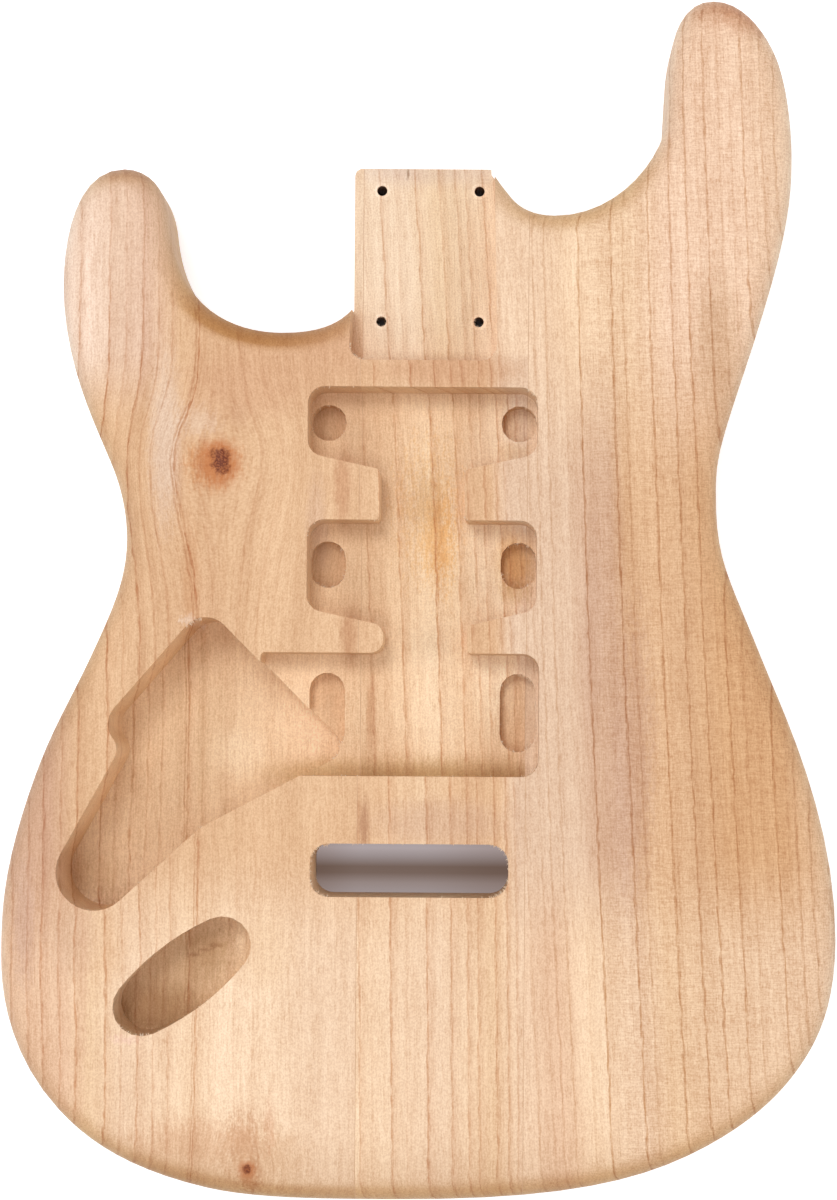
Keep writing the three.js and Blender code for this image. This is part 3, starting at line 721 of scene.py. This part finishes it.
# Places are in mm, across the body from its middle line and along it from the tail. The drift is
# the grain's slope, bend, lean and wander. The gather is how fast the rings close in, and the line
# that they close in on. A tone is (place, colour), a ring (place, depth), a knot (middle, radius,
# reach, push), and a stain, painted light or painted shade (middle, half size, raggedness,
# colour, strength).
BOLT_HOLES = [(-16.4, 392.4), (21.6, 392.4), (-16.4, 341.4), (21.6, 341.4)]
TREBLE_WOOD = {
    "span": (-162, -22),
    "drift": (0.0, 0.0, 0.25, 4.5),
    "gather": (0.0, 0.0),
    "tail_tones": [
        (-160, ROSE_WHITE), (-146, ROSE_WHITE), (-134, ROSE_WHITE), (-126, WARM_STRAW),
        (-112, CREAM), (-86, STRAW), (-74, PALE_STRAW), (-58, PALE_STRAW), (-40, CREAM),
        (-24, CREAM),
    ],
    "waist_tones": [
        (-142, DUSKY_ROSE), (-130, TAN), (-118, HONEY), (-106, TAN), (-97, TAN), (-90, TAN),
        (-72, TAN), (-60, HONEY), (-46, TAN), (-34, HONEY), (-24, TAN),
    ],
    "horn_tones": [
        (-136, PALE_ROSE), (-127, PALE_ROSE), (-118, DULL_ROSE), (-106, BROWN_ROSE),
        (-92, TAN), (-40, DUSKY_TAN),
    ],
    "horn_from": (296, 330),
    "rings": [
        (-158, -127, [(-155, 0.9), (-149, 0.8), (-143.6, 1.1), (-137, 0.9), (-130.8, 1.2)]),
        (-126, -92, [(-119.5, 1.2), (-113.4, 0.6), (-107, 1.1), (-101, 0.7), (-95.5, 0.7)]),
        (-92, -60, [(-86.2, 0.8), (-85, 1.15), (-79.5, 0.35), (-70, 0.35), (-63, 0.3)]),
    ],
    "ring_strength": 0.68,
    "ring_shade": RED_RING,
    "tail_rings": 0.85,
    "horn_rings": 0.55,
    "after_ring": 0.3,
    "pores": 0.24,
    "knots": [((-77, 285.7), 5.5, 29.0, 0.75), ((-64.8, 13.7), 2.2, 12.0, 0.6)],
    "flecks": None,
    "stains": [
        ((-98, 292), (9, 46), 0.5, PINK_GREY, 0.9),
        ((-80, 284), (15, 13), 1.2, paint(206, 138, 84), 0.8),
        ((-86, 300), (12, 9), 1.4, PINK_GREY, 0.5),
        ((-151, 108), (7, 36), 0.6, paint(215, 174, 148), 0.9),
        ((-59, 97), (16, 22), 0.5, WARM_STRAW, 0.6),
        ((-122, 97), (16, 20), 0.5, HONEY, 0.6),
        ((-132, 102), (14, 24), 0.5, paint(222, 182, 150), 0.7),
        ((-70, 304), (6, 9), 0.7, paint(196, 146, 110), 0.45),
        ((-60, 17), (26, 20), 0.8, paint(216, 168, 126), 0.55),
        ((-66, 25), (8, 18), 1.0, paint(206, 146, 102), 0.45),
        ((-84, 24), (30, 13), 1.0, paint(216, 162, 122), 0.45),
        ((-64, 10), (6, 9), 1.2, paint(206, 140, 88), 0.6),
        ((-92, 15), (44, 18), 0.6, paint(224, 180, 142), 0.5),
        ((-88.8, 223.6), (3.6, 2.6), 2.0, paint(248, 226, 206), 0.85),
        ((-112, 62.5), (8, 2.2), 2.0, paint(244, 204, 180), 0.7),
        ((-56, 30), (3, 16), 1.6, paint(214, 152, 112), 0.35),
        ((-66, 314), (34, 20), 0.4, DUSKY_TAN, 0.85),
        ((-24, 374), (9, 60), 0.4, CREAM, 0.95),
        ((-84, 226), (16, 30), 0.6, DUSKY_TAN, 0.2),
        ((-88, 238), (4.5, 34), 1.0, paint(206, 150, 104), 0.55),
        ((-112, 399), (30, 9), 0.6, paint(206, 164, 138), 0.6),
        ((-143, 140), (3.5, 60), 1.2, paint(214, 168, 138), 0.5),
        ((-128, 90), (3.0, 60), 1.4, paint(220, 172, 138), 0.4),
        ((-57, 232), (10, 44), 0.5, HONEY, 0.8),
        ((-72, 172), (14, 14), 0.5, WARM_STRAW, 0.8),
        ((-30, 276), (5, 24), 0.6, paint(200, 144, 104), 0.75),
        ((-27, 219), (5, 18), 0.6, paint(200, 146, 106), 0.75),
        ((-40, 262), (6, 24), 0.6, MAUVE, 0.6),
    ],
    "floor_light_shade_and_stains": [
        # Painted shadow by the tail-side wall of the bridge route
        ((-34, 164), (40, 10), 0.4, (0.76, 0.69, 0.55, 1), 1.0),
        # A darker floor low in the control cavity
        ((-127, 123), (14, 16), 0.5, (0.82, 0.76, 0.68, 1), 0.9),
        # Painted shade in the jack cavity
        ((-104, 81), (70, 50), 0.5, (0.73, 0.64, 0.54, 1), 1.0),
        ((-88.5, 93.5), (4.2, 1.3), 1.2, (0.62, 0.45, 0.33, 1), 0.5),
        ((-84.5, 95.2), (4.2, 1.3), 1.2, (0.62, 0.45, 0.33, 1), 0.5),
        ((-80, 97), (4.2, 1.3), 1.2, (0.62, 0.45, 0.33, 1), 0.5),
        # Painted light on the route floors on the treble side
        ((-44, 190), (36, 44), 0.3, (1.16, 1.18, 1.22, 1), 0.9),
        # Painted shade in the jack cavity
        ((-126, 66), (22, 18), 0.5, (0.78, 0.70, 0.60, 1), 1.0),
        ((-96, 190), (5, 50), 1.2, (0.84, 0.76, 0.68, 1), 0.3),
        ((-87, 180), (3, 60), 1.2, (0.84, 0.76, 0.68, 1), 0.5),
        # Painted shade near the walls of the jack cavity
        ((-103, 72), (26, 16), 0.5, (0.70, 0.60, 0.48, 1), 0.9),
        ((-82, 96), (14, 16), 0.5, (0.84, 0.78, 0.70, 1), 1.0),
    ],
    "edge_light_shade_and_stains": [
        # End grain along the treble cutaway, deepened with painted shade
        ((-74, 332), (52, 26), 0.3, (0.80, 0.68, 0.48, 1), 1.0),
        ((-112, 402), (40, 12), 0.3, (0.92, 0.84, 0.78, 1), 1.0),
        ((-80, 4), (90, 16), 0.3, (0.92, 0.88, 0.84, 1), 1.0),
        # Painted light on the walls of the control cavity
        ((-120, 145), (18, 44), 0.3, (1.22, 1.27, 1.33, 1), 1.0),
        ((-98, 206), (30, 34), 0.3, (1.22, 1.27, 1.33, 1), 1.0),
        # Painted light on the left wall of the slot
        ((-44, 128), (8, 16), 0.2, (1.35, 1.3, 1.25, 1), 1.0),
        # Painted shade on the walls of the jack cavity
        ((-104, 71), (26, 16), 0.3, (0.66, 0.56, 0.46, 1), 1.0),
    ],
    "bolt_holes": [],
}
CENTRE_WOOD = {
    "span": (-32, 42),
    "drift": (0.0, -8.9e-5, -0.36, 1.6),
    "gather": (0.0, 0.0),
    "tail_tones": [(-24, STRAW), (10, CREAM), (30, WARM_STRAW), (40, CREAM)],
    "waist_tones": [
        (-24, TAN), (-12, HONEY), (4, WARM_STRAW), (16, HONEY), (26, TAN), (33, HONEY),
        (40, DULL_CREAM),
    ],
    "horn_tones": [(-28, CREAM), (0, CREAM), (12, WARM_STRAW), (40, CREAM)],
    "horn_from": (322, 328),
    "rings": [
        (-24, 10, [(-21.6, 0.8), (-17, 0.3), (-9.3, 1.0), (-3.4, 0.3), (4.7, 1.1)]),
        (10, 42, [(14, 0.9), (20.4, 0.8), (24.3, 0.8), (31, 0.9), (35.5, 0.8), (39, 0.6)]),
    ],
    "ring_strength": 0.64,
    "ring_shade": RED_RING,
    "tail_rings": 1.0,
    "horn_rings": 0.85,
    "after_ring": 0.42,
    "pores": 0.24,
    "knots": [],
    "flecks": None,
    "stains": [
        ((8, 320), (42, 11), 0.3, DUSKY_TAN, 0.9),
        ((6, 256), (8, 26), 0.8, ORANGE_TAN, 0.7),
        ((8, 146), (40, 14), 0.4, MAUVE, 0.7),
        ((-20.6, 146), (3.0, 14), 0.7, paint(182, 128, 92), 0.7),
        ((-19.5, 188), (2.6, 26), 0.7, paint(196, 140, 98), 0.7),
    ],
    "floor_light_shade_and_stains": [
        # Painted light on the floors of the routes and ears
        ((8, 192), (66, 44), 0.3, (1.10, 1.12, 1.15, 1), 1.0),
        ((31, 262), (20, 100), 0.2, (1.21, 1.36, 1.55, 1), 1.0),
        # Painted shade in the corners of the bass-side ears
        ((37, 291), (9, 7), 0.8, (0.80, 0.72, 0.60, 1), 0.9),
        ((37, 236), (9, 7), 0.8, (0.80, 0.72, 0.60, 1), 0.9),
        # Painted light on the floor of a bass-side ear
        ((30, 200), (14, 24), 0.3, (1.06, 1.14, 1.20, 1), 0.9),
        # Painted shadow by the tail-side wall of the bridge route
        ((2, 162), (110, 14), 0.4, (0.66, 0.57, 0.42, 1), 1.0),
        ((2.6, 402), (50, 11), 0.3, (0.86, 0.86, 0.95, 1), 0.9),
        ((-6.4, 399.6), (0.9, 4.0), 0.8, (0.45, 0.34, 0.26, 1), 0.8),
        ((3, 268), (16, 34), 2.2, (0.95, 0.83, 0.64, 1), 0.7),
        ((10, 252), (4, 28), 2.0, (0.95, 0.82, 0.62, 1), 0.5),
        ((37, 248), (12, 18), 0.4, (0.78, 0.58, 0.34, 1), 0.9),
    ],
    "edge_light_shade_and_stains": [],
    "bolt_holes": BOLT_HOLES,
}
BASS_WOOD = {
    "span": (36, 176),
    "drift": (-0.0576, 3.86e-5, -0.3, 1.2),
    "gather": (0.00022, 60.0),
    "tail_tones": [
        (42, CREAM), (58, ROSE_WHITE), (70, STRAW), (90, CREAM), (100, WARM_STRAW), (118, PALE_GOLD),
        (166, CREAM),
    ],
    "waist_tones": [
        (44, DULL_CREAM), (68, DULL_CREAM), (76, MAUVE), (86, MAUVE), (92, TAN), (104, HONEY),
        (112, TAN), (128, OCHRE), (148, OCHRE), (166, PALE_GOLD),
    ],
    "horn_tones": [
        (60, CREAM), (72, STRAW), (96, STRAW), (112, PINK_STRAW), (140, PINK_STRAW), (168, CREAM),
    ],
    "horn_from": (268, 345),
    "rings": [
        (46, 88, [(49, 0.5), (54.5, 0.4), (58, 0.6), (62.5, 0.6), (70, 0.25), (76, 1.1)]),
        (86, 118, [(89.2, 1.1), (94, 0.6), (104.5, 1.0), (106.3, 0.3), (113.5, 1.0)]),
        (117, 149, [
            (120.5, 1.0), (125.5, 0.3), (129, 1.0), (134.8, 0.5), (139.5, 0.3), (144.5, 1.0),
        ]),
        (146, 172, [(149, 0.4), (152, 0.7), (157, 0.7), (163, 0.8)]),
    ],
    "ring_strength": 0.66,
    "ring_shade": GOLD_RING,
    "tail_rings": 1.0,
    "horn_rings": 0.85,
    "after_ring": 0.14,
    "pores": 0.26,
    "knots": [],
    "flecks": (72, 84, 0.34),
    "stains": [
        ((137, 458), (44, 13), 0.6, paint(208, 146, 106), 0.75),
        ((82, 170), (12, 80), 0.8, paint(210, 168, 142), 0.6),
        ((66, 220), (7, 60), 0.8, paint(214, 174, 148), 0.4),
        ((113, 330), (13, 40), 0.6, paint(222, 182, 146), 0.8),
    ],
    "floor_light_shade_and_stains": [
        ((37, 248), (12, 18), 0.4, (0.78, 0.58, 0.34, 1), 0.9),
        # Painted shade in the corners of the ears
        ((37, 291), (9, 7), 0.8, (0.80, 0.72, 0.60, 1), 0.9),
        ((37, 236), (9, 7), 0.8, (0.80, 0.72, 0.60, 1), 0.9),
    ],
    "edge_light_shade_and_stains": [
        ((44, 392), (34, 17), 0.3, (0.88, 0.77, 0.58, 1), 1.0),
        ((134, 466), (60, 14), 0.4, (0.84, 0.70, 0.62, 1), 1.0),
    ],
    "bolt_holes": [],
}
BOARDS = {
    "treble_side_board": ("treble_wood", wood("bare_wood_treble_side", TREBLE_WOOD)),
    "centre_board": ("centre_wood", wood("bare_wood_centre", CENTRE_WOOD)),
    "bass_side_board": ("bass_wood", wood("bare_wood_bass_side", BASS_WOOD)),
}
GLUE_LINES = ("glue_line_treble_front", "glue_line_treble_rear", "glue_line_bass")
glue_finish = glue("dried_glue")
loose_fibre = pale_fibre("loose_fibre")

# Rims and torn fibres
SHARP = radians(30)
FLAT = radians(0.3)
SAME_POINT = 0.000002
RIM_EASE = 0.0003
UPRIGHT_FACE = 0.05
LEVEL_FACE = 0.95
FIBRE_SEED = 7

# Sizes of a fibre in mm, each a plain value or the two ends of a chance
ROOT_INSIDE = 0.25
ROOT_BELOW = (0.3, 0.6)
ROOT_HALF_WIDTH = (0.12, 0.26)
ROOT_HEIGHT = 0.24
SIDEWAYS_CHANCE = ((-0.3, 0.3), (-0.9, 0.9), (-0.5, 0.05))
LENGTH_CHANCE = (0.5, 1.5)

# Rough places in mm: across, along from the tail, height above the back, how far the place
# reaches, how many fibres stand there, and their usual length
ROUGH_PLACES = [
    (-89, 222, 45, 7, 26, 1.4),
    (-34, 247, 28, 14, 20, 1.2),
    (-33, 236, 28, 8, 22, 1.3),
    (38, 300, 28, 12, 16, 1.1),
    (37, 262, 28, 10, 12, 1.0),
    (37, 238, 28, 8, 20, 1.1),
    (37, 202, 28, 10, 22, 1.2),
    (38, 168, 28, 12, 14, 1.2),
    (-32, 175, 28, 9, 24, 1.3),
    (-40, 300, 28, 14, 18, 1.1),
    (-112, 63, 45, 9, 20, 1.2),
    (-41, 128, 45, 12, 30, 1.2),
    (33, 120, 45, 9, 26, 1.3),
    (0, 118, 45, 44, 60, 1.0),
    (-20, 138, 45, 40, 30, 0.8),
    (0, 313, 45, 45, 40, 0.8),
    (5, 324, 45, 40, 40, 1.0),
    (-36, 262, 45, 20, 20, 0.8),
    (36, 262, 45, 20, 20, 0.8),
    (0, 165, 45, 45, 40, 0.9),
    (-110, 110, 45, 60, 40, 0.9),
]


def placed(name, mesh):
    """An object with this mesh, in the scene."""
    piece = bpy.data.objects.new(name, mesh)
    scene.collection.objects.link(piece)
    return piece


def cut_rims(rims):
    """The level rims of the routes and pockets, each as its two ends and the way into the cut."""
    found = []
    for rim in rims:
        start, stop = (corner.co.copy() for corner in rim.verts)
        walls = [face.normal.copy() for face in rim.link_faces if abs(face.normal.z) < UPRIGHT_FACE]
        floors = [face for face in rim.link_faces if face.normal.z > LEVEL_FACE]
        if len(walls) == 1 and len(floors) == 1 and abs(start.z - stop.z) < SAME_POINT:
            found.append((start, stop, walls[0]))
    return found


def torn_fibre(chance, rim, length):
    """The corners of one loose fibre, three at its root and one at its tip."""
    start, stop, into = rim
    root = start.lerp(stop, chance.random()) - into * ROOT_INSIDE * MM
    root.z -= chance.uniform(*ROOT_BELOW) * MM
    way = into + Vector([chance.uniform(*ends) for ends in SIDEWAYS_CHANCE])
    tip = root + way.normalized() * chance.uniform(*LENGTH_CHANCE) * length * MM
    side = Vector((-into.y, into.x, 0)) * chance.uniform(*ROOT_HALF_WIDTH) * MM
    up = Vector((0, 0, ROOT_HEIGHT * MM))
    return root - side, root + side, root + up, tip


def torn_fibres(name, rims):
    """Short loose fibres left by the cutter at the rough places of the rims."""
    chance = Random(FIBRE_SEED)
    tufts = bmesh.new()
    for across, along, height, reach, count, length in ROUGH_PLACES:
        middle = Vector((across * MM, (along + TAIL) * MM, height * MM))
        near = [rim for rim in rims if ((rim[0] + rim[1]) / 2 - middle).length < reach * MM]
        for _ in range(count if near else 0):
            fibre = torn_fibre(chance, chance.choice(near), length)
            corners = [tufts.verts.new(place) for place in fibre]
            for face in combinations(corners, 3):
                tufts.faces.new(face)
    if not tufts.faces:
        tufts.free()
        return
    bmesh.ops.recalc_face_normals(tufts, faces=tufts.faces)
    mesh = bpy.data.meshes.new(name)
    tufts.to_mesh(mesh)
    tufts.free()
    mesh.materials.append(loose_fibre)
    piece = placed(name, mesh)
    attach(piece, "root")


def finished_copy(node, name, material, ease=0.0):
    """A merged, smooth-shaded copy of one CAD piece, with its outer rims eased a little."""
    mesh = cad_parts[node].data.copy()
    mesh.name = name
    body = bmesh.new()
    body.from_mesh(mesh)
    bmesh.ops.remove_doubles(body, verts=body.verts, dist=SAME_POINT)
    bmesh.ops.dissolve_limit(
        body, angle_limit=FLAT, use_dissolve_boundaries=False, verts=body.verts, edges=body.edges
    )
    if ease:
        rims = [edge for edge in body.edges if edge.is_convex and edge.calc_face_angle(0) > SHARP]
        torn_fibres(f"{name}_torn_fibres", cut_rims(rims))
        bmesh.ops.bevel(
            body, geom=rims, offset=ease, offset_type="OFFSET", affect="EDGES", segments=2,
            profile=0.5, clamp_overlap=True, material=-1,
        )
    for face in body.faces:
        face.smooth = True
    for edge in body.edges:
        edge.smooth = edge.calc_face_angle(0) < SHARP
    body.to_mesh(mesh)
    body.free()
    mesh.materials.clear()
    mesh.materials.append(material)
    piece = placed(name, mesh)
    flats = piece.modifiers.new("flat_faces_first", "WEIGHTED_NORMAL")
    flats.keep_sharp = True
    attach(piece, "root")
    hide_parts(node)


for node, (slot, material) in BOARDS.items():
    finished_copy(node, node.replace("board", "plank"), material, RIM_EASE)
for node in GLUE_LINES:
    finished_copy(node, node.replace("line", "film"), glue_finish)

# Table and light
FLOOR_HALF = 12.0
FLOOR_SQUARES = 8
FLOOR_LEVEL = -0.0003
PAPER_GLOW = (0.6, 0.6, 0.6, 1)
PAPER_ROUGHNESS = 0.9
PAPER_SHINE = 0.1
SLOT_ACROSS = (-0.07, 0.06)
SLOT_ALONG = (-0.13, -0.07)
SLOT_FADE = 0.01
SLOT_MIDDLE = -0.0035
SLOT_LEFT_END = (-0.042, -0.02, 0.45, 0.0)
SLOT_RIGHT_END = (0.0, 0.04, 0.0, 0.4)
# Painted shadow on the table seen through the slot: paler towards its long edges, dark along its
# middle
SLOT_PAINTED_SHADOW_SPAN = (-118, -95)
SLOT_PAINTED_SHADOW = [
    (-117, paint(160, 148, 148)), (-112, paint(148, 133, 129)), (-108, paint(118, 99, 90)),
    (-105.4, paint(116, 97, 88)), (-101.4, paint(152, 140, 139)), (-98, paint(174, 162, 163)),
    (-95, paint(168, 157, 158)),
]
SOFTBOXES = {
    "neck_end_softbox": ((-0.5, 0.85, 2.5), 0.8, 20),
    "tail_end_softbox": ((-0.5, -0.6, 2.6), 0.8, 9),
    "low_right_softbox": ((1.5, 0.1, 1.1), 0.9, 6.5),
    "low_left_softbox": ((-1.6, 0.1, 1.1), 0.9, 5),
    "low_tail_softbox": ((0.3, -1.5, 0.9), 0.9, 4),
}
SKY_STRENGTH = 0.42


def under_slot(bench, across, along):
    """How far a place of the table lies under the tremolo slot, fading at its borders."""
    sides = []
    for value, (start, stop) in ((across, SLOT_ACROSS), (along, SLOT_ALONG)):
        sides.append(bench.rise(value, start - SLOT_FADE, start))
        sides.append(bench.fall(value, stop, stop + SLOT_FADE))
    return bench.times(*sides)


def painted_slot_shadow(bench, across, along):
    """Painted shadow that the table shows through the slot as a glow, darker towards the slot's two
    ends.
    """
    tone = bench.ramp(bench.over(along, MM), *SLOT_PAINTED_SHADOW_SPAN, SLOT_PAINTED_SHADOW)
    sideways = bench.minus(across, SLOT_MIDDLE)
    left_end = bench.rise(sideways, *SLOT_LEFT_END)
    right_end = bench.rise(sideways, *SLOT_RIGHT_END)
    return bench.shade(tone, SLOT_END_PAINTED_SHADE, bench.plus(left_end, right_end))


def white_paper(name):
    """Paper that looks white to the camera, but for the part under the slot, which has a dark
    painted shade and glows with painted shadow.
    """
    material, bench = new_material(name)
    where = bench.put("ShaderNodeTexCoord")
    across, along, _ = bench.split(where.outputs["Object"])
    inside = under_slot(bench, across, along)
    ray = bench.put("ShaderNodeLightPath")
    seen = bench.maths("MAXIMUM", ray.outputs["Is Camera Ray"], ray.outputs["Is Glossy Ray"])
    seen = bench.maths("MAXIMUM", seen, ray.outputs["Is Transmission Ray"])
    # Under the slot the paper's colour is a dark painted shade
    sockets = bench.surface(bench.tint(PAPER, PAINTED_SHADE_UNDER_SLOT, inside), PAPER_ROUGHNESS)
    bench.feed(sockets["Specular IOR Level"], PAPER_SHINE)
    # Camera rays see white paper, and under the slot a glow of painted shadow
    glow = bench.tint(PAPER_GLOW, painted_slot_shadow(bench, across, along), inside)
    bench.feed(sockets["Emission Color"], glow)
    bench.feed(sockets["Emission Strength"], seen)
    return material


def white_table():
    """A large table top that the body lies on."""
    top = bmesh.new()
    bmesh.ops.create_grid(top, x_segments=FLOOR_SQUARES, y_segments=FLOOR_SQUARES, size=FLOOR_HALF)
    for corner in top.verts:
        corner.co.z = FLOOR_LEVEL
    mesh = bpy.data.meshes.new("table_top")
    top.to_mesh(mesh)
    top.free()
    mesh.materials.append(white_paper("white_paper"))
    table = placed("table_top", mesh)


def softbox(name, place, size, watts):
    """A square softbox that faces the middle of the body."""
    lamp = bpy.data.lights.new(name, "AREA")
    lamp.shape = "SQUARE"
    lamp.size = size
    lamp.energy = watts
    holder = bpy.data.objects.new(name, lamp)
    holder.location = place
    holder.rotation_euler = Vector(place).to_track_quat("Z", "Y").to_euler()
    scene.collection.objects.link(holder)


def plain_sky(strength):
    """Even white light from all round."""
    world = bpy.data.worlds.new("plain_studio")
    world.use_nodes = True
    sky = world.node_tree.nodes["Background"].inputs
    sky["Color"].default_value = (1, 1, 1, 1)
    sky["Strength"].default_value = strength
    scene.world = world


white_table()
for name, (place, size, watts) in SOFTBOXES.items():
    softbox(name, place, size, watts)
plain_sky(SKY_STRENGTH)
scene.view_settings.view_transform = "Standard"
